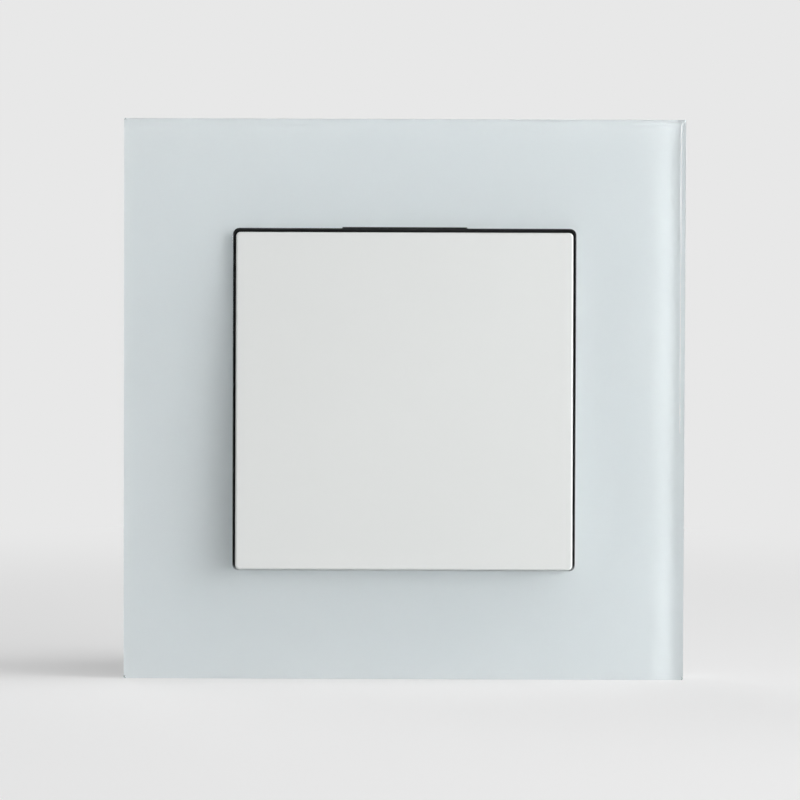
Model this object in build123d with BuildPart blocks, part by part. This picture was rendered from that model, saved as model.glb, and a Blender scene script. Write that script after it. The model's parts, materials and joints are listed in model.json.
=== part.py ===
from build123d import *
from math import cos, hypot, radians, sin
import os

# Two-way light switch with a square glass frame, as it sits on the wall.
# X runs to the right, Y into the wall and Z up. The origin is on the wall's surface, midway
# between the two screws of the wall box. All sizes are in millimetres and degrees.
# Heights are measured from the wall out into the room, and depths from the wall into its box.

# Driving dimensions of the glass frame and its carrier
frame_size = 90.0
opening_size = 55.0
opening_radius = 1.0
notch_reach = 0.2
glass_thickness = 3.0
glass_arris = 0.8
back_arris = 0.3
glass_corner = 0.3
pad_thickness = 0.3
pad_width = 5.0
carrier_height = 6.5
carrier_inset = 1.5
carrier_radius = 2.0
carrier_wall = 2.0
carrier_flange = 1.9
rib_thickness = 1.1
rib_spacing = 16.0
ribs_per_side = 4
frame_lift = 0.25

# Driving dimensions of the rocker
rocker_corner = 0.7
rocker_edge = 0.35
face_thickness = 1.5
skirt_wall = 1.2
skirt_depth = 6.6
face_proud = 1.8
rocker_throw = 3.3
pin_radius = 1.1
pivot_behind_face = 3.1
stop_size = 2.4
stop_spread_x = 12.0
stop_inset = 3.5

# Driving dimensions of the rocker's cradle
web_thickness = 1.1
web_width = 40.0
web_height = 30.0
relief_width = 6.6
relief_height = 5.0
relief_spread_z = 10.0
cheek_thickness = 1.5
cheek_radius = 2.2
cheek_base = 7.0
tube_radius = 3.6
bore_radius = 2.3
tube_reach = 12.0
clip_width = 5.0
clip_thickness = 1.2
clip_hook = 0.7
clip_spread_x = 10.0

# Driving dimensions of the black retaining frame
retainer_wall = 1.9
retainer_flange = 2.0
retainer_ledge = 1.8
lip_reach = 0.9
lip_thickness = 1.8
tab_width = 20.0
tab_reach = 1.3
leg_width = 3.0
leg_thickness = 1.2
leg_spread_z = 10.5
barb_reach = 0.5
barb_length = 0.9

# Driving dimensions of the steel support plate
plate_size = 71.0
plate_thickness = 1.2
plate_corner = 9.0
screw_spacing = 60.0
slot_width = 4.2
slot_length = 7.0
screw_head_width = 8.4
screw_head_height = 1.4

# Driving dimensions of the housing
housing_corner = 5.0
housing_wall = 2.0
entry_wall = 3.5
entry_lead = 0.6
housing_flange = 1.2
chamber_depth = 13.0
floor_thickness = 2.0
channel_width = 8.8
cover_thickness = 1.6
cover_rim = 1.0
rim_wall = 1.2
post_at = 15.5
post_thickness = 1.6
post_head = 2.4
post_foot = 8.4
post_tip = 0.8
rivet_radius = 1.2
rivet_head = 2.2
rivet_head_height = 0.7
rivet_space = 0.4

# Driving dimensions of the contacts
strip_thickness = 0.8
strip_width = 6.0
common_width = 5.0
tongue_width = 4.0
tip_length = 3.2
tip_width = 3.0
fixed_tip_height = 0.7
moving_tip_height = 0.6
tip_dome = 0.3
bar_throw = 5.0
bar_length = 22.0
bar_width = 5.0
bar_thickness = 1.2
bar_corner = 1.0
bar_seat = 0.05
fulcrum_radius = 0.4
tip_spread = 9.0

# Driving dimensions of the plunger and its spring
plunger_tip = 1.5
plunger_body = 4.5
plunger_guided = 4.0
spigot_radius = 1.2
spigot_length = 2.0
spring_radius = 2.1
spring_wire = 0.5

# Driving dimensions of the screw terminals
terminal_z = 9.0
cage_length = 6.0
cage_wall = 1.0
cage_nut = 1.8
cage_slack = 1.0
wire_space = 2.6
clamp_screw_radius = 1.75
clamp_head_radius = 2.7
clamp_head_height = 1.8
clamp_travel = 2.4
driver_slot = 0.8
tower_wall = 1.5
wire_entry_width = 3.4

# Named clearances
slide_gap = 0.05
running_gap = 0.05
seat_gap = 0.2
loose_gap = 0.3
swing_gap = 0.4
reveal_gap = 0.1
contact_gap = 0.05
plunger_gap = 0.2
thread_gap = 0.05

# Sizes that follow from the opening, inwards to the housing
retainer_opening = opening_size - 2 * reveal_gap
retainer_size = retainer_opening + 2 * retainer_wall
retainer_window = retainer_opening - 2 * retainer_ledge
rocker_size = retainer_opening - 2 * swing_gap
leg_centre_x = retainer_opening / 2 - seat_gap - leg_thickness / 2
housing_flange_size = retainer_window - 4 * loose_gap
stop_spread_z = housing_flange_size / 2 - stop_inset
rivet_x = housing_flange_size / 2 - rivet_head - seat_gap
housing_size = 2 * (rivet_x - rivet_head - rivet_space)

# Heights that the stack of pieces gives
pad_height = carrier_height
glass_back = pad_height + pad_thickness
glass_front = glass_back + glass_thickness
face_height = glass_front + face_proud
pivot_height = face_height - pivot_behind_face
face_reach = pivot_behind_face
web_front = face_reach - face_thickness
web_back = web_front - web_thickness
skirt_end = face_reach - skirt_depth
flange_front = plate_thickness + housing_flange
cover_front = flange_front + cover_thickness
strip_front = strip_thickness - chamber_depth
rim_front = glass_back - seat_gap

# Places that the contacts give: the dome's radius, the bar's fall at full throw and its axis
throw = radians(rocker_throw)
tilt = radians(bar_throw)
dome_radius = (tip_length**2 / 4 + tip_dome**2) / (2 * tip_dome)
dome_centre = bar_seat - moving_tip_height + dome_radius
bar_fall = dome_radius - dome_centre * cos(tilt) + tip_spread * sin(tilt)
bar_axis_height = strip_front + fixed_tip_height + contact_gap + bar_fall
bar_top = bar_seat + bar_thickness

# The plunger's round tip stands plunger_gap clear of the bar's top, which leans the other way
tip_centre_reach = (
    (pivot_height - bar_axis_height) * cos(tilt) - bar_top - plunger_tip - plunger_gap
) / (cos(throw) * cos(tilt) - sin(throw) * sin(tilt))

# Planes: x to the right and y up, seen from the room, with z as the height out of the wall
wall = Plane(origin=(0, 0, 0), x_dir=(1, 0, 0), z_dir=(0, -1, 0))
frame_wall = Plane(origin=(0, 0, frame_lift), x_dir=(1, 0, 0), z_dir=(0, -1, 0))
rocker = Plane(
    origin=(0, -pivot_height, 0), x_dir=(1, 0, 0), z_dir=(0, -cos(throw), sin(throw))
)
bar = Plane(
    origin=(0, -bar_axis_height, 0), x_dir=(1, 0, 0), z_dir=(0, -cos(tilt), -sin(tilt))
)


def seen_from_side(base):
    """The same frame seen from its right side: x is up, y is the height and z is to the right."""
    return Plane(origin=base.origin, x_dir=base.y_dir, z_dir=base.x_dir)


wall_side = seen_from_side(wall)
rocker_side = seen_from_side(rocker)
bar_side = seen_from_side(bar)

os.makedirs("parts", exist_ok=True)


# Glass frame: clear plate, ground to an arris round its front edge

with BuildPart() as glass_frame:
    with BuildSketch(frame_wall.offset(glass_back)):
        Rectangle(frame_size, frame_size)
        RectangleRounded(opening_size, opening_size, opening_radius, mode=Mode.SUBTRACT)
        with Locations((0, opening_size / 2)):
            Rectangle(tab_width, 2 * notch_reach, mode=Mode.SUBTRACT)
    extrude(amount=glass_thickness)
    chamfer(glass_frame.faces().sort_by(Axis.Y)[0].outer_wire().edges(), glass_arris)
    chamfer(glass_frame.faces().sort_by(Axis.Y)[-1].outer_wire().edges(), back_arris)
    corners = glass_frame.edges().filter_by(Axis.Y).sort_by(
        lambda edge: hypot(edge.center().X, edge.center().Z - frame_lift)
    )[-4:]
    fillet(corners, glass_corner)


# Bonding pad: a square ring of tape between the glass and its carrier

lip_size = retainer_size + 2 * lip_reach
carrier_size = frame_size - 2 * carrier_inset
carrier_opening = lip_size + 4 * loose_gap
pad_size = carrier_size - 2 * carrier_wall
pad_window = pad_size - 2 * pad_width
with BuildPart() as bonding_pad:
    with BuildSketch(frame_wall.offset(pad_height)):
        RectangleRounded(pad_size, pad_size, carrier_radius)
        Rectangle(pad_window, pad_window, mode=Mode.SUBTRACT)
    extrude(amount=pad_thickness)


# Carrier frame: open at the back, with ribs and a ledge that the retaining frame's lip holds down

ledge_opening = retainer_size + 4 * loose_gap
ledge_height = rim_front - lip_thickness - seat_gap
inner_wall_size = carrier_opening + 2 * carrier_wall
with BuildPart() as carrier_frame:
    with BuildSketch(frame_wall):
        RectangleRounded(carrier_size, carrier_size, carrier_radius)
        Rectangle(ledge_opening, ledge_opening, mode=Mode.SUBTRACT)
    extrude(amount=carrier_height)
    with BuildSketch(frame_wall.offset(ledge_height)):
        Rectangle(carrier_opening, carrier_opening)
        with Locations((0, carrier_opening / 2)):
            Rectangle(tab_width + 2 * loose_gap, 2 * tab_reach)
    extrude(amount=carrier_height - ledge_height, mode=Mode.SUBTRACT)
    with BuildSketch(frame_wall):
        Rectangle(carrier_size - 2 * carrier_wall, carrier_size - 2 * carrier_wall)
        Rectangle(inner_wall_size, inner_wall_size, mode=Mode.SUBTRACT)
    extrude(amount=carrier_height - carrier_flange, mode=Mode.SUBTRACT)
    with BuildSketch(frame_wall):
        Rectangle(inner_wall_size, inner_wall_size)
    extrude(amount=plate_thickness, mode=Mode.SUBTRACT)
    rib_length = (carrier_size - 2 * carrier_wall - inner_wall_size) / 2
    rib_centre = (inner_wall_size + rib_length) / 2
    with BuildSketch(frame_wall.offset(plate_thickness + loose_gap)):
        with PolarLocations(rib_centre, 4):
            with GridLocations(0, rib_spacing, 1, ribs_per_side):
                Rectangle(rib_length, rib_thickness)
    extrude(amount=carrier_height - carrier_flange - plate_thickness - loose_gap)
    with BuildSketch(wall.offset(plate_thickness)):
        with PolarLocations(screw_spacing / 2, 4):
            Rectangle(screw_head_width, screw_head_width)
    extrude(amount=screw_head_height, mode=Mode.SUBTRACT)


# Black retaining frame: a rim round the rocker, a lip over the carrier's ledge and a release tab

leg_in = leg_centre_x - leg_thickness / 2
leg_out = leg_centre_x + leg_thickness / 2
with BuildPart() as retaining_frame:
    with BuildSketch(wall.offset(plate_thickness)):
        Rectangle(retainer_size, retainer_size)
        RectangleRounded(retainer_opening, retainer_opening, opening_radius, mode=Mode.SUBTRACT)
    extrude(amount=rim_front - plate_thickness)
    with BuildSketch(wall.offset(plate_thickness)):
        Rectangle(retainer_opening + seat_gap, retainer_opening + seat_gap)
        RectangleRounded(retainer_window, retainer_window, housing_corner, mode=Mode.SUBTRACT)
    extrude(amount=retainer_flange)
    with BuildSketch(wall.offset(rim_front - lip_thickness)):
        Rectangle(lip_size, lip_size)
        with Locations((0, lip_size / 2)):
            Rectangle(tab_width, 2 * tab_reach)
        RectangleRounded(retainer_opening, retainer_opening, opening_radius, mode=Mode.SUBTRACT)
    extrude(amount=lip_thickness)
    with BuildSketch(wall.offset(plate_thickness)):
        with PolarLocations(screw_spacing / 2, 4):
            Rectangle(screw_head_width, screw_head_width)
    extrude(amount=screw_head_height, mode=Mode.SUBTRACT)
    with BuildSketch(Plane.XY.offset(leg_spread_z - leg_width / 2)) as leg:
        with BuildLine():
            Polyline(
                (leg_in, -plate_thickness),
                (leg_out, -plate_thickness),
                (leg_out, loose_gap / 2),
                (leg_out + barb_reach, loose_gap / 2),
                (leg_out, barb_length),
                (leg_in, barb_length),
                close=True,
            )
        make_face()
        mirror(about=Plane.YZ)
    extrude(amount=leg_width)
    with BuildSketch(Plane.XY.offset(-leg_spread_z - leg_width / 2)):
        add(leg.sketch_local)
    extrude(amount=leg_width)


# Support plate: steel strap with slots for the wall box's screws

with BuildPart() as support_plate:
    with BuildSketch(wall):
        RectangleRounded(plate_size, plate_size, plate_corner)
        RectangleRounded(
            housing_size + 2 * loose_gap,
            housing_size + 2 * loose_gap,
            housing_corner,
            mode=Mode.SUBTRACT,
        )
        with PolarLocations(screw_spacing / 2, 4):
            SlotOverall(slot_length, slot_width, mode=Mode.SUBTRACT)
        with GridLocations(2 * rivet_x, 0, 2, 1):
            Circle(rivet_radius + slide_gap, mode=Mode.SUBTRACT)
        with GridLocations(2 * leg_centre_x, 2 * leg_spread_z, 2, 2):
            Rectangle(leg_thickness + 2 * barb_reach, leg_width + 2 * seat_gap, mode=Mode.SUBTRACT)
    extrude(amount=plate_thickness)


# Housing: a chamber for the contacts, and a tower at the back for each terminal

cage_width = tongue_width + 2 * seat_gap + 2 * cage_wall
pocket_length = cage_length + 2 * loose_gap
pocket_width = cage_width + 2 * loose_gap
bay_outer = housing_size / 2 - entry_wall
bay_inner = bay_outer - channel_width
partition_thickness = bay_inner - channel_width / 2
partition_x = (bay_inner + channel_width / 2) / 2
terminal_x = bay_outer - seat_gap - pocket_length / 2
terminals = {
    "lower": (-terminal_x, -terminal_z),
    "upper": (-terminal_x, terminal_z),
    "common": (terminal_x, 0),
}
cage_front = strip_front + wire_space + cage_wall
cage_back = -(chamber_depth + cage_slack + cage_nut)
head_front = cage_back - clamp_travel - loose_gap
head_back = head_front - clamp_head_height
tower_back = head_back - seat_gap
tower_inner = terminal_x - pocket_length / 2 - tower_wall
tower_length = housing_size / 2 - tower_inner
tower_width = pocket_width + 2 * tower_wall
cavity_size = housing_size - 2 * housing_wall
with BuildPart() as mechanism_base:
    with BuildSketch(wall.offset(-chamber_depth - floor_thickness)):
        RectangleRounded(housing_size, housing_size, housing_corner)
    extrude(amount=chamber_depth + floor_thickness + plate_thickness)
    with BuildSketch(wall.offset(plate_thickness)):
        RectangleRounded(housing_flange_size, housing_flange_size, housing_corner)
    extrude(amount=housing_flange)
    with BuildSketch(wall.offset(tower_back)):
        for x, z in terminals.values():
            side = 1 if x > 0 else -1
            with Locations((side * (tower_inner + tower_length / 2), z)):
                Rectangle(tower_length, tower_width)
    extrude(amount=-tower_back - chamber_depth)
    with BuildSketch(wall.offset(-chamber_depth)):
        with GridLocations(bay_outer + bay_inner, 0, 2, 1):
            Rectangle(channel_width, cavity_size)
        Rectangle(channel_width, cavity_size)
    extrude(amount=chamber_depth + flange_front, mode=Mode.SUBTRACT)
    with BuildSketch(wall.offset(flange_front - cover_rim - loose_gap)):
        Rectangle(2 * bay_outer, cavity_size)
    extrude(amount=cover_rim + loose_gap, mode=Mode.SUBTRACT)
    with BuildSketch(wall.offset(-chamber_depth)):
        with Locations((-partition_x, -terminal_z), (-partition_x, terminal_z)):
            Rectangle(partition_thickness + loose_gap, strip_width + 2 * seat_gap)
        with Locations((partition_x, 0)):
            Rectangle(partition_thickness + loose_gap, common_width + 2 * seat_gap)
    extrude(amount=strip_thickness + slide_gap, mode=Mode.SUBTRACT)
    with BuildSketch(wall.offset(-chamber_depth)):
        with Locations(*terminals.values()):
            Rectangle(pocket_length, pocket_width)
    extrude(amount=head_front + chamber_depth, mode=Mode.SUBTRACT)
    with BuildSketch(wall.offset(head_front)):
        with Locations(*terminals.values()):
            Circle(clamp_head_radius + loose_gap)
    extrude(amount=tower_back - head_front, mode=Mode.SUBTRACT)
    entry_centre = strip_front + wire_space / 2
    for x, z in terminals.values():
        side = 1 if x > 0 else -1
        with BuildSketch(wall_side.offset(side * bay_outer)):
            with Locations((z, entry_centre)):
                Rectangle(wire_entry_width, wire_space)
        extrude(amount=side * entry_wall, mode=Mode.SUBTRACT)
    outer_walls = mechanism_base.faces().filter_by(Axis.X).filter_by(
        lambda face: abs(abs(face.center().X) - housing_size / 2) < slide_gap
    )
    mouths = [wire for face in outer_walls for wire in face.inner_wires()]
    chamfer([edge for wire in mouths for edge in wire.edges()], entry_lead)
    with BuildSketch(wall.offset(plate_thickness)):
        with GridLocations(2 * rivet_x, 0, 2, 1):
            Circle(rivet_radius + slide_gap)
    extrude(amount=housing_flange, mode=Mode.SUBTRACT)


# Cover: closes the chamber and carries the rocker's hinge pins in two open bearings

swing = (pivot_height - flange_front) * sin(throw)
rim_width = 2 * (bay_outer - seat_gap)
rim_height = cavity_size - 2 * seat_gap
with BuildPart() as mechanism_cover:
    with BuildSketch(wall.offset(flange_front)):
        RectangleRounded(housing_flange_size, housing_flange_size, housing_corner)
    extrude(amount=cover_thickness)
    with BuildSketch(wall.offset(flange_front - cover_rim)):
        Rectangle(rim_width, rim_height)
        Rectangle(rim_width - 2 * rim_wall, rim_height - 2 * rim_wall, mode=Mode.SUBTRACT)
    extrude(amount=cover_rim)
    for side in (-1, 1):
        post_start = side * post_at - post_thickness / 2
        with BuildSketch(wall_side.offset(post_start)):
            with BuildLine():
                Polyline(
                    (-post_foot / 2, cover_front),
                    (post_foot / 2, cover_front),
                    (post_head, pivot_height),
                    (-post_head, pivot_height),
                    close=True,
                )
            make_face()
            with Locations((0, pivot_height)):
                Circle(post_head)
                Circle(pin_radius + running_gap, mode=Mode.SUBTRACT)
            with Locations((0, pivot_height + post_tip + post_head / 2)):
                Rectangle(2 * post_head, post_head, mode=Mode.SUBTRACT)
        extrude(amount=post_thickness)
    with BuildSketch(wall.offset(flange_front)):
        SlotCenterToCenter(2 * swing, 2 * (tube_radius + loose_gap), rotation=90)
    extrude(amount=cover_thickness, mode=Mode.SUBTRACT)
    with BuildSketch(wall.offset(flange_front)):
        with GridLocations(2 * rivet_x, 0, 2, 1):
            Circle(rivet_radius + slide_gap)
    extrude(amount=cover_thickness, mode=Mode.SUBTRACT)


# Rivets: hold cover, housing and support plate together

with BuildPart() as housing_rivets:
    with BuildSketch(wall.offset(-rivet_head_height)):
        with GridLocations(2 * rivet_x, 0, 2, 1):
            Circle(rivet_head)
    extrude(amount=rivet_head_height)
    with BuildSketch(wall.offset(cover_front)):
        with GridLocations(2 * rivet_x, 0, 2, 1):
            Circle(rivet_head)
    extrude(amount=rivet_head_height)
    with BuildSketch(wall):
        with GridLocations(2 * rivet_x, 0, 2, 1):
            Circle(rivet_radius)
    extrude(amount=cover_front)


# Contact strips: each lies on the chamber's floor and ends in a tongue inside its clamp

tongue_end = terminal_x + cage_length / 2
tongue_start = terminal_x - cage_length / 2 - 4 * loose_gap
strips = {}
for name in ("lower", "upper"):
    z = terminals[name][1]
    with BuildPart() as strip:
        with BuildSketch(wall.offset(-chamber_depth)):
            with Locations((common_width / 2, z)):
                Rectangle(tongue_start + common_width / 2, strip_width, align=(Align.MAX, Align.CENTER))
            with Locations((-tongue_start, z)):
                Rectangle(tongue_end - tongue_start, tongue_width, align=(Align.MAX, Align.CENTER))
        extrude(amount=strip_thickness)
    strip.part.label = f"contact_strip_{name}"
    strips[name] = strip

with BuildPart() as common_strip:
    with BuildSketch(wall.offset(-chamber_depth)):
        with Locations((-common_width / 2, 0)):
            Rectangle(tongue_start + common_width / 2, common_width, align=(Align.MIN, Align.CENTER))
        with Locations((tongue_start, 0)):
            Rectangle(tongue_end - tongue_start, tongue_width, align=(Align.MIN, Align.CENTER))
    extrude(amount=strip_thickness)
    with BuildSketch(wall_side.offset(-bar_width / 2)):
        with Locations((0, strip_front)):
            Rectangle(
                2 * fulcrum_radius,
                bar_axis_height - strip_front,
                align=(Align.CENTER, Align.MIN),
            )
        with Locations((0, bar_axis_height)):
            Circle(fulcrum_radius)
    extrude(amount=bar_width)


# Silver tips: flat ones on the strips, and ones with a rounded face under the ends of the bar

with BuildPart() as fixed_tips:
    with BuildSketch(wall.offset(strip_front)):
        with GridLocations(0, 2 * tip_spread, 1, 2):
            Rectangle(tip_width, tip_length)
    extrude(amount=fixed_tip_height)

tip_low = bar_seat - moving_tip_height
with BuildPart() as moving_tips:
    with BuildSketch(bar_side.offset(-tip_width / 2)):
        for middle in (-tip_spread, tip_spread):
            start = (middle - tip_length / 2, tip_low + tip_dome)
            end = (middle + tip_length / 2, tip_low + tip_dome)
            with BuildLine():
                Polyline(start, (start[0], bar_seat), (end[0], bar_seat), end)
                ThreePointArc(end, (middle, tip_low), start)
            make_face()
    extrude(amount=tip_width)


# Contact bar: a see-saw with a groove that sits on the common strip's fulcrum

with BuildPart() as contact_bar:
    with BuildSketch(bar_side.offset(-bar_width / 2)):
        with Locations((0, bar_seat)):
            Rectangle(bar_length, bar_thickness, align=(Align.CENTER, Align.MIN))
        Circle(fulcrum_radius + running_gap, mode=Mode.SUBTRACT)
    extrude(amount=bar_width)
    fillet(contact_bar.edges().filter_by(Axis(bar.origin, bar.z_dir)), bar_corner)


# Rocker plate: a hollow square shell with stops and clips behind its face

with BuildPart() as rocker_plate:
    with BuildSketch(rocker.offset(skirt_end)):
        RectangleRounded(rocker_size, rocker_size, rocker_corner)
    extrude(amount=skirt_depth)
    fillet(rocker_plate.faces().sort_by(Axis.Y)[0].edges(), rocker_edge)
    with BuildSketch(rocker.offset(skirt_end)):
        RectangleRounded(rocker_size - 2 * skirt_wall, rocker_size - 2 * skirt_wall, rocker_corner / 2)
    extrude(amount=skirt_depth - face_thickness, mode=Mode.SUBTRACT)
    stop_edge = stop_spread_z + stop_size / 2
    stop_end = (cover_front + contact_gap + stop_edge * sin(throw) - pivot_height) / cos(throw)
    with BuildSketch(rocker.offset(stop_end)):
        with GridLocations(2 * stop_spread_x, 2 * stop_spread_z, 2, 2):
            Rectangle(stop_size, stop_size)
    extrude(amount=web_front - stop_end)
    clip_at = web_height / 2 + slide_gap
    for side in (-1, 1):
        for x in (-clip_spread_x, clip_spread_x):
            with BuildSketch(rocker_side.offset(x - clip_width / 2)):
                with BuildLine():
                    Polyline(
                        (side * clip_at, web_front),
                        (side * (clip_at + clip_thickness), web_front),
                        (side * (clip_at + clip_thickness), web_back - slide_gap - clip_hook),
                        (side * clip_at, web_back - slide_gap - clip_hook),
                        (side * (clip_at - clip_hook), web_back - slide_gap),
                        (side * clip_at, web_back - slide_gap),
                        close=True,
                    )
                make_face()
            extrude(amount=clip_width)


# Rocker cradle: a web behind the face, two cheeks with hinge pins and the tube of the plunger

cheek_in = post_at + post_thickness / 2 + loose_gap
pin_end = post_at - post_thickness / 2 - seat_gap
window_width = cheek_in - pin_end + seat_gap
with BuildPart() as rocker_cradle:
    with BuildSketch(rocker.offset(web_back)):
        RectangleRounded(web_width, web_height, cheek_radius)
        with Locations(
            (cheek_in - window_width / 2, 0), (window_width / 2 - cheek_in, 0)
        ):
            Rectangle(window_width, 2 * post_head + 4 * loose_gap, mode=Mode.SUBTRACT)
        with GridLocations(tube_radius + cheek_in, 2 * relief_spread_z, 2, 2):
            Rectangle(relief_width, relief_height, mode=Mode.SUBTRACT)
    extrude(amount=web_thickness)
    for side in (-1, 1):
        cheek_start = cheek_in if side > 0 else -cheek_in - cheek_thickness
        with BuildSketch(rocker_side.offset(cheek_start)):
            with BuildLine():
                Polyline(
                    (-cheek_base / 2, web_back),
                    (cheek_base / 2, web_back),
                    (cheek_radius, 0),
                    (-cheek_radius, 0),
                    close=True,
                )
            make_face()
            Circle(cheek_radius)
            with Locations((0, web_front)):
                Rectangle(cheek_base, cheek_radius, align=(Align.CENTER, Align.MIN), mode=Mode.SUBTRACT)
        extrude(amount=cheek_thickness)
        with BuildSketch(rocker_side.offset(side * pin_end)):
            Circle(pin_radius)
        extrude(amount=side * (cheek_in - pin_end))
    with BuildSketch(rocker.offset(-tube_reach)):
        Circle(tube_radius)
    extrude(amount=tube_reach + web_back)
    with BuildSketch(rocker.offset(-tube_reach)):
        Circle(bore_radius)
    extrude(amount=tube_reach + web_back, mode=Mode.SUBTRACT)


# Plunger: a stepped pin in the cradle's tube, with a round tip that rides on the contact bar

body_end = plunger_guided - tube_reach
body_start = body_end - plunger_body
rocker_section = Plane(origin=rocker.origin, x_dir=rocker.x_dir, z_dir=-rocker.y_dir)
rocker_axis = Axis(rocker.origin, rocker.z_dir)
with BuildPart() as plunger:
    with BuildSketch(rocker_section):
        with BuildLine():
            Polyline(
                (plunger_tip, -tip_centre_reach),
                (plunger_tip, body_start),
                (bore_radius - slide_gap, body_start),
                (bore_radius - slide_gap, body_end),
                (spigot_radius, body_end),
                (spigot_radius, body_end + spigot_length),
                (0, body_end + spigot_length),
                (0, -tip_centre_reach - plunger_tip),
            )
            RadiusArc(
                (0, -tip_centre_reach - plunger_tip), (plunger_tip, -tip_centre_reach), -plunger_tip
            )
        make_face()
    revolve(axis=rocker_axis)


# Plunger spring: its closed outer shape, from the plunger's shoulder to the end of the bore

with BuildPart() as plunger_spring:
    with BuildSketch(rocker.offset(body_end)):
        Circle(spring_radius)
        Circle(spring_radius - spring_wire, mode=Mode.SUBTRACT)
    extrude(amount=web_back - body_end)


# Terminals: a clamp that its screw draws back, so that its front wall holds the wire on the tongue

clamps = {}
for name, (x, z) in terminals.items():
    with BuildPart() as cage:
        with BuildSketch(wall_side.offset(x - cage_length / 2)):
            with Locations((z, cage_back)):
                Rectangle(cage_width, cage_front - cage_back, align=(Align.CENTER, Align.MIN))
            with Locations((z, cage_back + cage_nut)):
                Rectangle(
                    cage_width - 2 * cage_wall,
                    cage_front - cage_back - cage_nut - cage_wall,
                    align=(Align.CENTER, Align.MIN),
                    mode=Mode.SUBTRACT,
                )
        extrude(amount=cage_length)
        with BuildSketch(wall.offset(cage_back)):
            with Locations((x, z)):
                Circle(clamp_screw_radius + thread_gap)
        extrude(amount=cage_nut, mode=Mode.SUBTRACT)
    cage.part.label = f"clamp_cage_{name}"
    with BuildPart() as screw:
        with BuildSketch(wall.offset(-chamber_depth - contact_gap)):
            with Locations((x, z)):
                Circle(clamp_screw_radius)
        extrude(amount=head_front + chamber_depth + contact_gap)
        with BuildSketch(wall.offset(head_front)):
            with Locations((x, z)):
                Circle(clamp_head_radius)
        extrude(amount=-clamp_head_height)
        with BuildSketch(wall.offset(head_back)):
            with Locations((x, z)):
                Rectangle(2 * clamp_head_radius, driver_slot)
        extrude(amount=clamp_head_height / 2, mode=Mode.SUBTRACT)
    screw.part.label = f"terminal_screw_{name}"
    clamps[name] = (cage, screw)


glass_frame.part.label = "glass_frame"
bonding_pad.part.label = "bonding_pad"
carrier_frame.part.label = "carrier_frame"
retaining_frame.part.label = "retaining_frame"
support_plate.part.label = "support_plate"
mechanism_base.part.label = "mechanism_base"
mechanism_cover.part.label = "mechanism_cover"
housing_rivets.part.label = "housing_rivets"
common_strip.part.label = "common_strip"
fixed_tips.part.label = "fixed_tips"
moving_tips.part.label = "moving_tips"
contact_bar.part.label = "contact_bar"
rocker_plate.part.label = "rocker_plate"
rocker_cradle.part.label = "rocker_cradle"
plunger.part.label = "plunger"
plunger_spring.part.label = "plunger_spring"

pieces = [
    glass_frame,
    bonding_pad,
    carrier_frame,
    retaining_frame,
    support_plate,
    mechanism_base,
    mechanism_cover,
    housing_rivets,
    common_strip,
    strips["lower"],
    strips["upper"],
    fixed_tips,
    moving_tips,
    contact_bar,
    rocker_plate,
    rocker_cradle,
    plunger,
    plunger_spring,
]
for cage, screw in clamps.values():
    pieces += [cage, screw]

for piece in pieces:
    export_step(piece.part, f"parts/{piece.part.label}.step")
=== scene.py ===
import json
import math
import bmesh
import bpy
from mathutils import Matrix, Vector


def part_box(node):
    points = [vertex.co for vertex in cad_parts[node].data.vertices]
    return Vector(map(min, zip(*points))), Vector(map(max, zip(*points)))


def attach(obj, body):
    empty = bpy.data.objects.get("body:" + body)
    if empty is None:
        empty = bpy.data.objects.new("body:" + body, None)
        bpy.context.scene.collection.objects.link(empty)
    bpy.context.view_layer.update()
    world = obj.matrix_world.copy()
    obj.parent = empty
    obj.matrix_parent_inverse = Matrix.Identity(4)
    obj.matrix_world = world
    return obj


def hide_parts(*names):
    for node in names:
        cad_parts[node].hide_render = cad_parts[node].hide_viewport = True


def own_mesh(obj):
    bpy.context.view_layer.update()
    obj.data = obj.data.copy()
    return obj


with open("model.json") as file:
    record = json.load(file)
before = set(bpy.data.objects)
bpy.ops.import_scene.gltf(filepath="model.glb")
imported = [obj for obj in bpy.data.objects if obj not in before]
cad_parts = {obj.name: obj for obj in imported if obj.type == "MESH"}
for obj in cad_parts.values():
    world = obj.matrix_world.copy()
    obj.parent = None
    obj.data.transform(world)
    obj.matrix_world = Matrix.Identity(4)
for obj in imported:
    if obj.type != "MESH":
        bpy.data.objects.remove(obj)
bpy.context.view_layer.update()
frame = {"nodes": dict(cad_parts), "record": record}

mm = 0.001
near = 0.01 * mm  # places closer than this count as the same


def toLinear(hexColour, alpha=1.0):
    # sRGB hex to the linear colour that a shader socket takes
    channels = [int(hexColour[i:i + 2], 16) / 255 for i in (1, 3, 5)]
    linear = [c / 12.92 if c <= 0.04045 else ((c + 0.055) / 1.055) ** 2.4 for c in channels]
    return (*linear, alpha)


def addNode(tree, kind, settings=None, links=None):
    # settings are sockets by their label, or else the node's own properties
    node = tree.nodes.new(kind)
    for name, value in (settings or {}).items():
        if isinstance(name, int) or name in node.inputs:
            node.inputs[name].default_value = value
        else:
            setattr(node, name, value)
    for name, source in (links or {}).items():
        tree.links.new(source, node.inputs[name])
    return node


def selectEdges(piece, wanted):
    # in edit mode: selects the edges whose two ends pass the test
    bpy.ops.mesh.select_mode(type="EDGE")
    bpy.ops.mesh.select_all(action="DESELECT")
    mesh = bmesh.from_edit_mesh(piece.data)
    for edge in mesh.edges:
        edge.select_set(wanted(*(vert.co for vert in edge.verts)))
    mesh.select_flush_mode()
    bmesh.update_edit_mesh(piece.data)


def selectFaces(piece, wanted):
    # in edit mode: selects the faces whose middle passes the test
    bpy.ops.mesh.select_mode(type="FACE")
    bpy.ops.mesh.select_all(action="DESELECT")
    mesh = bmesh.from_edit_mesh(piece.data)
    for face in mesh.faces:
        face.select_set(wanted(face.calc_center_median()))
    bmesh.update_edit_mesh(piece.data)


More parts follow.
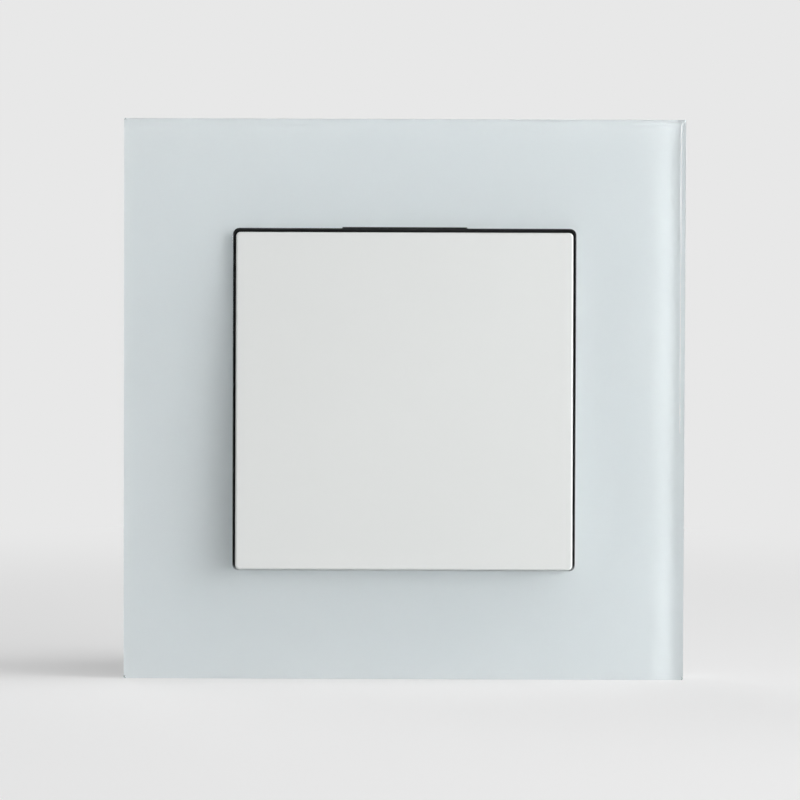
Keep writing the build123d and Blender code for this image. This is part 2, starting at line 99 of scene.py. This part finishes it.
def faceOutwards():
    # in edit mode: turns every face of the piece outwards
    bpy.ops.mesh.select_all(action="SELECT")
    bpy.ops.mesh.normals_make_consistent(inside=False)


def newMaterial(name):
    material = bpy.data.materials.new(name)
    material.use_nodes = True
    material.node_tree.nodes.clear()
    return material, material.node_tree


# ---- materials ----
glassLook = {
    "ior": 1.52,
    "tint": "#D6F3EC",        # what white turns to through the thickness of the edge
    "density": 9.0,           # absorption per metre
    "edgeRoughness": 0.12,    # ground and polished, not as clear as the drawn faces
    "centre": 0.25 * mm,      # height of the plate's middle
    "edgeFrom": 44.85 * mm,   # the edge's gleam starts here, from the middle
    "edgeTo": 44.97 * mm,
    "wave": 55.0 * mm,        # from crest to crest of the float glass's waviness
    "waveDepth": 0.05 * mm,   # drawn deeper than real, or it wouldn't show at all
    "waveStrength": 0.02,
}


def toughenedGlassFloatPolished():
    # clear float glass: mirror-flat faces with a faint waviness, edges ground and polished
    # to a soft gleam
    material, tree = newMaterial("toughenedGlassFloatPolished")
    place = addNode(tree, "ShaderNodeTexCoord")
    split = addNode(tree, "ShaderNodeSeparateXYZ", links={"Vector": place.outputs["Object"]})
    side = addNode(tree, "ShaderNodeMath", {"operation": "ABSOLUTE"}, {0: split.outputs["X"]})
    tall = addNode(tree, "ShaderNodeMath", {"operation": "SUBTRACT", 1: glassLook["centre"]},
                   {0: split.outputs["Z"]})
    up = addNode(tree, "ShaderNodeMath", {"operation": "ABSOLUTE"}, {0: tall.outputs[0]})
    far = addNode(tree, "ShaderNodeMath", {"operation": "MAXIMUM"},
                  {0: side.outputs[0], 1: up.outputs[0]})
    ground = addNode(tree, "ShaderNodeMapRange",
                     {"From Min": glassLook["edgeFrom"], "From Max": glassLook["edgeTo"],
                      "To Min": 0.0, "To Max": glassLook["edgeRoughness"]},
                     {"Value": far.outputs[0]})
    wave = addNode(tree, "ShaderNodeTexNoise", {"Scale": 1 / glassLook["wave"], "Detail": 1.0},
                   {"Vector": place.outputs["Object"]})
    bump = addNode(tree, "ShaderNodeBump",
                   {"Strength": glassLook["waveStrength"], "Distance": glassLook["waveDepth"]},
                   {"Height": wave.outputs["Fac"]})
    shader = addNode(tree, "ShaderNodeBsdfPrincipled",
                     {"Base Color": (1, 1, 1, 1), "IOR": glassLook["ior"],
                      "Transmission Weight": 1.0},
                     {"Roughness": ground.outputs["Result"], "Normal": bump.outputs["Normal"]})
    tint = addNode(tree, "ShaderNodeVolumeAbsorption",
                   {"Color": toLinear(glassLook["tint"]), "Density": glassLook["density"]})
    addNode(tree, "ShaderNodeOutputMaterial",
            links={"Surface": shader.outputs["BSDF"], "Volume": tint.outputs["Volume"]})
    return material


def mixColours(tree, look, pattern):
    # from the look's dark to its light colour, as the pattern goes
    return addNode(tree, "ShaderNodeMix",
                   {"data_type": "RGBA", 6: toLinear(look["dark"]), 7: toLinear(look["light"])},
                   {"Factor": pattern.outputs["Fac"]})


def spreadGloss(tree, look, pattern, spread):
    # the look's roughness, a little more or less as the pattern goes
    return addNode(tree, "ShaderNodeMapRange",
                   {"To Min": look["roughness"] - spread, "To Max": look["roughness"] + spread},
                   {"Value": pattern.outputs["Fac"]})


def mouldedPlastic(name, look):
    # injection moulding: faint mottling of the colour, fine spark-eroded grain, a soft sheen;
    # the real grain of about 0.05 mm is drawn at 0.3 mm and more, so that it shows from here
    material, tree = newMaterial(name)
    place = addNode(tree, "ShaderNodeTexCoord")
    flow = addNode(tree, "ShaderNodeTexNoise", {"Scale": 1 / look["flow"], "Detail": 3.0},
                   {"Vector": place.outputs["Object"]})
    colour = mixColours(tree, look, flow)
    grain = addNode(tree, "ShaderNodeTexNoise",
                    {"Scale": 1 / look["grain"], "Detail": 2.0, "Roughness": 0.6},
                    {"Vector": place.outputs["Object"]})
    gloss = spreadGloss(tree, look, grain, spread=0.04)
    bump = addNode(tree, "ShaderNodeBump",
                   {"Strength": look["bump"], "Distance": look["grainDepth"]},
                   {"Height": grain.outputs["Fac"]})
    shader = addNode(tree, "ShaderNodeBsdfPrincipled", {"IOR": look["ior"]},
                     {"Base Color": colour.outputs[2], "Roughness": gloss.outputs["Result"],
                      "Normal": bump.outputs["Normal"]})
    addNode(tree, "ShaderNodeOutputMaterial", links={"Surface": shader.outputs["BSDF"]})
    return material


streakDepth = 0.01 * mm  # of the marks in rolled or plated metal


def sheetMetal(name, look):
    # rolled or plated metal: streaks along the rolling direction and slightly uneven gloss;
    # the real marks of 0.1 mm and less are drawn at 1.4 to 3.8 mm, so that they show from here
    material, tree = newMaterial(name)
    place = addNode(tree, "ShaderNodeTexCoord")
    stretch = addNode(tree, "ShaderNodeMapping", {"Scale": look["stretch"]},
                      {"Vector": place.outputs["Object"]})
    streaks = addNode(tree, "ShaderNodeTexNoise", {"Scale": 1 / look["streak"], "Detail": 4.0},
                      {"Vector": stretch.outputs["Vector"]})
    colour = mixColours(tree, look, streaks)
    gloss = spreadGloss(tree, look, streaks, spread=0.06)
    bump = addNode(tree, "ShaderNodeBump",
                   {"Strength": look["bump"], "Distance": streakDepth},
                   {"Height": streaks.outputs["Fac"]})
    shader = addNode(tree, "ShaderNodeBsdfPrincipled", {"Metallic": 1.0},
                     {"Base Color": colour.outputs[2], "Roughness": gloss.outputs["Result"],
                      "Normal": bump.outputs["Normal"]})
    addNode(tree, "ShaderNodeOutputMaterial", links={"Surface": shader.outputs["BSDF"]})
    return material


rockerLook = {  # satin ABS: an even, neutral white with a broad soft sheen and no gloss
    "dark": "#CED0CF", "light": "#D2D4D3",
    "flow": 40.0 * mm, "grain": 0.29 * mm, "grainDepth": 0.01 * mm,
    "roughness": 0.42, "bump": 0.15, "ior": 1.49,
}
carrierLook = {  # moulded ABS: a duller white than the rocker's, with a visible grain
    "dark": "#C4C5C4", "light": "#CBCCCB",
    "flow": 25.0 * mm, "grain": 0.33 * mm, "grainDepth": 0.02 * mm,
    "roughness": 0.5, "bump": 0.2, "ior": 1.58,
}
retainerLook = {  # black ABS: a matt black that makes the line round the rocker
    "dark": "#141516", "light": "#1B1C1D",
    "flow": 17.0 * mm, "grain": 0.33 * mm, "grainDepth": 0.02 * mm,
    "roughness": 0.55, "bump": 0.2, "ior": 1.5,
}
baseLook = {  # glass-filled nylon: a cool mid grey, cloudy where the fibres lie, matt
    "dark": "#868A8D", "light": "#92969A",
    "flow": 14.0 * mm, "grain": 0.4 * mm, "grainDepth": 0.02 * mm,
    "roughness": 0.55, "bump": 0.25, "ior": 1.55,
}
plungerLook = {  # acetal: a smoother, slightly oily black
    "dark": "#18191B", "light": "#222325",
    "flow": 11.0 * mm, "grain": 0.33 * mm, "grainDepth": 0.01 * mm,
    "roughness": 0.45, "bump": 0.15, "ior": 1.5,
}
foamLook = {  # foam tape: off-white, dull, with open cells in the cut edge
    "dark": "#D8D8D2", "light": "#E6E6E0",
    "flow": 3.3 * mm, "grain": 0.6 * mm, "grainDepth": 0.08 * mm,
    "roughness": 0.85, "bump": 0.6, "ior": 1.45,
}
enamelLook = {  # fired enamel: a flat blue-white ground, the pale colour seen through the glass
    "dark": "#F1F7FA", "light": "#F5FAFC",
    "flow": 33.0 * mm, "grain": 0.67 * mm, "grainDepth": 0.004 * mm,
    "roughness": 0.5, "bump": 0.05, "ior": 1.52,
}
zincLook = {  # galvanised sheet: bluish grey with long rolling streaks, half dull
    "dark": "#A9ADB1", "light": "#C9CCCE",
    "stretch": (1.0, 1.0, 0.25), "streak": 3.8 * mm,
    "roughness": 0.34, "bump": 0.15,
}
nickelLook = {  # nickel plate over turned steel: warm, fairly bright highlights
    "dark": "#AAA59C", "light": "#C6C1B8",
    "stretch": (1.0, 1.0, 1.0), "streak": 2.5 * mm,
    "roughness": 0.26, "bump": 0.08,
}
springLook = {  # drawn wire: dark grey steel with fine drawing marks
    "dark": "#6F7174", "light": "#8E9094",
    "stretch": (1.0, 0.2, 1.0), "streak": 1.4 * mm,
    "roughness": 0.3, "bump": 0.1,
}
brassLook = {  # stamped brass: yellow sheet with streaks from the rolling
    "dark": "#C39A4B", "light": "#DDB768",
    "stretch": (0.2, 1.0, 1.0), "streak": 2.9 * mm,
    "roughness": 0.3, "bump": 0.12,
}
silverLook = {  # pressed silver alloy: pale and clean, with soft highlights
    "dark": "#C9C6BF", "light": "#E2E0DA",
    "stretch": (1.0, 1.0, 1.0), "streak": 1.7 * mm,
    "roughness": 0.28, "bump": 0.1,
}

materials = {
    "glass": toughenedGlassFloatPolished(),
    "rocker": mouldedPlastic("satinAbsMoulded", rockerLook),
    "carrier": mouldedPlastic("whiteAbsMoulded", carrierLook),
    "retainer": mouldedPlastic("blackAbsMoulded", retainerLook),
    "base": mouldedPlastic("greyNylonMoulded", baseLook),
    "plunger": mouldedPlastic("blackAcetalMoulded", plungerLook),
    "foam": mouldedPlastic("foamTapeCutStrip", foamLook),
    "enamel": mouldedPlastic("firedEnamelScreenPrinted", enamelLook),
    "zinc": sheetMetal("zincPlatedSteelStamped", zincLook),
    "nickel": sheetMetal("nickelPlatedSteelTurned", nickelLook),
    "spring": sheetMetal("springSteelDrawnWire", springLook),
    "brass": sheetMetal("brassStampedSheet", brassLook),
    "silver": sheetMetal("silverAlloyPressed", silverLook),
}
slotMaterials = {
    "clear_glass": "glass", "foam_tape": "foam", "white_moulding": "carrier",
    "rocker_white": "rocker", "black_moulding": "retainer", "grey_moulding": "base",
    "galvanised_steel": "zinc", "rivet_steel": "nickel", "spring_steel": "spring",
    "contact_brass": "brass", "silver": "silver",
}
nodeMaterials = {"plunger": "plunger"}  # nodes that don't look as the rest of their slot


def dressNodes():
    for part in frame["record"]["subparts"]:
        name = part["node"]
        key = nodeMaterials.get(name, slotMaterials[part["material_slot"]])
        piece = frame["nodes"][name]
        piece.data.materials.clear()
        piece.data.materials.append(materials[key])
        print("dressed", name, "with", materials[key].name)


# ---- the glass panel and the enamel behind it ----
window = {
    "opening": 55.0 * mm,
    "corner": 1.0 * mm,
    "cornerSteps": 6,
    "notchWidth": 20.0 * mm,  # the shallow notch over the rocker
    "notchDepth": 0.2 * mm,
    "centre": 0.25 * mm,      # above the middle of the box screws
}
glassPanel = {
    "size": 90.0 * mm,
    "back": -6.8 * mm,
    "front": -9.8 * mm,
    "frontArris": 0.8 * mm,
    "backArris": 0.3 * mm,
    "easing": 0.08 * mm,      # what polishing takes off every edge
    "easingSteps": 2,
    "sharp": 30,              # degrees between two faces, from which an edge is eased
}
enamel = {
    "size": 89.4 * mm,        # up to the arris of the glass's back
    "front": -6.82 * mm,      # just inside the glass, as fired on
    "back": -6.74 * mm,
}


def startSheet(name, size, depth):
    # a square sheet facing the viewer, with the notched window cut out of it, left in edit mode
    bpy.ops.object.select_all(action="DESELECT")
    bpy.ops.mesh.primitive_plane_add(size=size, location=(0, depth, window["centre"]),
                                     rotation=(math.radians(90), 0, 0))
    piece = bpy.context.active_object
    piece.name = name
    bpy.ops.object.transform_apply(location=True, rotation=True, scale=True)
    bpy.ops.object.mode_set(mode="EDIT")
    bpy.ops.mesh.select_mode(type="FACE")
    bpy.ops.mesh.select_all(action="SELECT")
    bpy.ops.mesh.inset(thickness=(size - window["opening"]) / 2, depth=0)
    bpy.ops.mesh.delete(type="FACE")
    top = window["centre"] + window["opening"] / 2
    notchTop = top + window["notchDepth"]
    half = window["notchWidth"] / 2
    for side in (-half, half):
        selectFaces(piece, lambda centre: centre.z > top)
        bpy.ops.mesh.bisect(plane_co=(side, depth, top), plane_no=(1, 0, 0))
    selectFaces(piece, lambda centre: centre.z > top and abs(centre.x) < half)
    bpy.ops.mesh.bisect(plane_co=(0, depth, notchTop), plane_no=(0, 0, 1))
    selectFaces(piece, lambda centre: abs(centre.x) < half and top < centre.z < notchTop)
    bpy.ops.mesh.delete(type="FACE")
    return piece


def thicken(piece, depth, reach):
    # gives the sheet its thickness and rounds the four corners of the window
    bpy.ops.mesh.select_all(action="SELECT")
    bpy.ops.mesh.extrude_region_move(TRANSFORM_OT_translate={"value": (0, reach - depth, 0)})
    half, centre = window["opening"] / 2, window["centre"]

    def atCorner(end):
        return abs(abs(end.x) - half) < near and abs(abs(end.z - centre) - half) < near

    selectEdges(piece, lambda a, b: abs(a.y - b.y) > near and atCorner(a) and atCorner(b))
    bpy.ops.mesh.bevel(offset=window["corner"], segments=window["cornerSteps"], affect="EDGES")
    faceOutwards()


def makeGlass():
    back, front = glassPanel["back"], glassPanel["front"]
    piece = startSheet("glass_panel", glassPanel["size"], back)
    thicken(piece, back, front)
    rim = glassPanel["size"] / 2 - near

    def onRim(end, level):
        reach = max(abs(end.x), abs(end.z - window["centre"]))
        return abs(end.y - level) < near and reach > rim

    for level, arris in ((front, glassPanel["frontArris"]), (back, glassPanel["backArris"])):
        selectEdges(piece, lambda a, b: onRim(a, level) and onRim(b, level))
        bpy.ops.mesh.bevel(offset=arris, segments=1, affect="EDGES")
    bpy.ops.mesh.select_all(action="DESELECT")
    bpy.ops.mesh.edges_select_sharp(sharpness=math.radians(glassPanel["sharp"]))
    bpy.ops.mesh.bevel(offset=glassPanel["easing"], segments=glassPanel["easingSteps"],
                       affect="EDGES")
    faceOutwards()
    bpy.ops.object.mode_set(mode="OBJECT")
    piece.data.materials.append(materials["glass"])
    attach(piece, "insert_and_frame")
    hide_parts("glass_frame")
    print("made", piece.name, len(piece.data.polygons), "faces")


def makeEnamel():
    piece = startSheet("back_enamel", enamel["size"], enamel["front"])
    thicken(piece, enamel["front"], enamel["back"])
    bpy.ops.object.mode_set(mode="OBJECT")
    piece.data.materials.append(materials["enamel"])
    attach(piece, "insert_and_frame")
    print("made", piece.name, len(piece.data.polygons), "faces")


# ---- the spring that presses the plunger ----
coilSpring = {
    "wire": 0.5 * mm,
    "outerRadius": 2.04 * mm,
    "turns": 6,
    "steps": 24,              # round one turn
    "sides": 10,              # round the wire
    "lean": 3.3,              # degrees, as the rocker stands at rest
    "travel": 0.8 * mm,       # how far the plunger presses it together
    "smoothBelow": 50,        # degrees between two faces
}


def makeSpring():
    low, high = (Vector(corner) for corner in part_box("plunger_spring"))
    thick, turns = coilSpring["wire"] / 2, coilSpring["turns"]
    radius, lean = coilSpring["outerRadius"], math.radians(coilSpring["lean"])
    length = (high.y - low.y - 2 * radius * math.sin(lean)) / math.cos(lean) - 2 * thick
    forward = Vector((0, -math.cos(lean), math.sin(lean)))
    bpy.ops.object.select_all(action="DESELECT")
    bpy.ops.mesh.primitive_circle_add(vertices=coilSpring["sides"], radius=thick,
                                      rotation=(math.radians(90), 0, 0),
                                      location=(radius - thick, 0, 0))
    piece = bpy.context.active_object
    piece.name = "plunger_coil"
    bpy.ops.object.transform_apply(location=True, rotation=True, scale=True)
    wind = piece.modifiers.new("wind", "SCREW")
    wind.axis = "Z"
    wind.iterations = turns
    wind.steps = wind.render_steps = coilSpring["steps"]
    wind.screw_offset = length / turns
    bpy.ops.object.modifier_apply(modifier=wind.name)
    piece.rotation_euler = (math.radians(90) - lean, 0, 0)  # its axis from upright to the plunger's
    piece.location = (low + high) / 2 - forward * length / 2
    bpy.ops.object.transform_apply(location=True, rotation=True, scale=True)
    bpy.ops.object.mode_set(mode="EDIT")
    bpy.ops.mesh.select_all(action="SELECT")
    bpy.ops.mesh.fill_holes(sides=coilSpring["sides"])
    faceOutwards()
    bpy.ops.object.mode_set(mode="OBJECT")
    bpy.ops.object.shade_smooth_by_angle(angle=math.radians(coilSpring["smoothBelow"]))
    piece.data.materials.append(materials["spring"])
    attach(piece, "rocker")
    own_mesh(piece)
    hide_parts("plunger_spring")
    print("made", piece.name, len(piece.data.polygons), "faces, from", round(low.y / mm, 2),
          "to", round(high.y / mm, 2))


# ---- floor, light and camera ----
stage = {
    "floorLevel": -44.75 * mm,
    "floorSize": 6.0,
    "background": "#E8E8E8",
    "floorShade": "#FBFBFB",
    "glow": 0.5,              # how much of the floor is seen as the plain background colour
    "fade": (0.15, 0.33),     # metres over which the floor turns wholly into that colour
    "fill": 0.04,             # light from all round, on top of the lamps
    "behindGlass": 0.3,       # how much of the backdrop's light reaches what lies behind the glass
}


def plainRays(tree, path):
    # 1 for what is seen straight, in a mirror or through glass, and 0 for light that was scattered
    mirror = addNode(tree, "ShaderNodeMath", {"operation": "ADD"},
                     {0: path.outputs["Is Glossy Ray"], 1: path.outputs["Is Transmission Ray"]})
    return addNode(tree, "ShaderNodeMath", {"operation": "ADD", "use_clamp": True},
                   {0: mirror.outputs[0], 1: path.outputs["Is Camera Ray"]})


def makeFloor():
    bpy.ops.object.select_all(action="DESELECT")
    bpy.ops.mesh.primitive_plane_add(size=stage["floorSize"],
                                     location=(0, 0, stage["floorLevel"]))
    floor = bpy.context.active_object
    floor.name = "studio_floor"
    bpy.ops.object.transform_apply(location=True, rotation=True, scale=True)
    material, tree = newMaterial("seamlessPaperFloor")
    place = addNode(tree, "ShaderNodeTexCoord")
    distance = addNode(tree, "ShaderNodeVectorMath", {"operation": "LENGTH"},
                       {0: place.outputs["Object"]})
    fade = addNode(tree, "ShaderNodeMapRange",
                   {"interpolation_type": "SMOOTHSTEP", "From Min": stage["fade"][0],
                    "From Max": stage["fade"][1], "To Min": stage["glow"], "To Max": 1.0},
                   {"Value": distance.outputs["Value"]})
    plain = plainRays(tree, addNode(tree, "ShaderNodeLightPath"))
    share = addNode(tree, "ShaderNodeMath", {"operation": "MULTIPLY"},
                    {0: fade.outputs["Result"], 1: plain.outputs[0]})
    paper = addNode(tree, "ShaderNodeBsdfDiffuse", {"Color": toLinear(stage["floorShade"])})
    glow = addNode(tree, "ShaderNodeEmission",
                   {"Color": toLinear(stage["background"]), "Strength": 1.0})
    mix = addNode(tree, "ShaderNodeMixShader",
                  links={0: share.outputs[0], 1: paper.outputs[0], 2: glow.outputs[0]})
    addNode(tree, "ShaderNodeOutputMaterial", links={"Surface": mix.outputs[0]})
    floor.data.materials.append(material)
    print("made the floor")


def makeWorld():
    world = bpy.data.worlds.new("studioWorld")
    bpy.context.scene.world = world
    world.use_nodes = True
    tree = world.node_tree
    tree.nodes.clear()
    path = addNode(tree, "ShaderNodeLightPath")
    plain = plainRays(tree, path)
    bounced = addNode(tree, "ShaderNodeMapRange", {"To Min": 1.0, "To Max": stage["behindGlass"]},
                      {"Value": path.outputs["Diffuse Depth"]})
    share = addNode(tree, "ShaderNodeMath", {"operation": "MULTIPLY"},
                    {0: plain.outputs[0], 1: bounced.outputs["Result"]})
    light = addNode(tree, "ShaderNodeBackground",
                    {"Color": (1, 1, 1, 1), "Strength": stage["fill"]})
    backdrop = addNode(tree, "ShaderNodeBackground",
                       {"Color": toLinear(stage["background"]), "Strength": 1.0})
    mix = addNode(tree, "ShaderNodeMixShader",
                  links={0: share.outputs[0], 1: light.outputs[0], 2: backdrop.outputs[0]})
    addNode(tree, "ShaderNodeOutputWorld", links={"Surface": mix.outputs[0]})
    print("made the world")


lamps = {
    # azimuth from the viewer towards the right and height above the horizon in degrees,
    # distance and size in metres, power in watts
    "keyRight": {"azimuth": 54, "height": 6, "distance": 0.7, "size": 0.4, "power": 4.7},
    "sideHigh": {"azimuth": 80, "height": 52, "distance": 3.0, "size": 1.5, "power": 50.0},
    "backLeft": {"azimuth": -150, "height": 45, "distance": 2.5, "size": 1.2, "power": 11.0},
    "frontLow": {"azimuth": 27, "height": 8, "distance": 3.0, "size": 1.1, "power": 22.0},
    "leftLow": {"azimuth": -78, "height": 6, "distance": 1.2, "size": 0.3, "power": 2.0},
}


def makeLamps():
    for name, lamp in lamps.items():
        data = bpy.data.lights.new(name, "AREA")
        data.shape = "SQUARE"
        data.size = lamp["size"]
        data.energy = lamp["power"]
        holder = bpy.data.objects.new(name, data)
        bpy.context.scene.collection.objects.link(holder)
        turn, rise = math.radians(lamp["azimuth"]), math.radians(lamp["height"])
        direction = Vector((math.sin(turn) * math.cos(rise), -math.cos(turn) * math.cos(rise),
                            math.sin(rise)))
        holder.location = direction * lamp["distance"]
        holder.rotation_euler = direction.to_track_quat("Z", "Y").to_euler()
        print("made lamp", name)


view = {
    "distance": 950 * mm,     # from the glass's front
    "elevation": 3.0,         # degrees above the middle of the face
    "aim": (-0.67 * mm, -9.8 * mm, 0.25 * mm),
    "roll": 0.2,
    "lens": 266.6,
    "sensor": 36.0,
    "clip": (0.01, 30.0),     # metres, nearest and farthest seen
}


def makeCamera():
    data = bpy.data.cameras.new("camera")
    data.lens = view["lens"]
    data.sensor_width = view["sensor"]
    data.clip_start, data.clip_end = view["clip"]
    camera = bpy.data.objects.new("camera", data)
    bpy.context.scene.collection.objects.link(camera)
    tilt = math.radians(view["elevation"])
    back = Vector((0, -math.cos(tilt), math.sin(tilt)))
    roll = Matrix.Rotation(math.radians(view["roll"]), 4, "Z")
    turn = back.to_track_quat("Z", "Y").to_matrix().to_4x4() @ roll
    camera.matrix_world = Matrix.Translation(Vector(view["aim"]) + back * view["distance"]) @ turn
    bpy.context.scene.camera = camera
    print("made the camera")


dressNodes()
makeGlass()
makeEnamel()
makeSpring()
makeFloor()
makeWorld()
makeLamps()
makeCamera()
bpy.context.scene.view_settings.view_transform = "Standard"
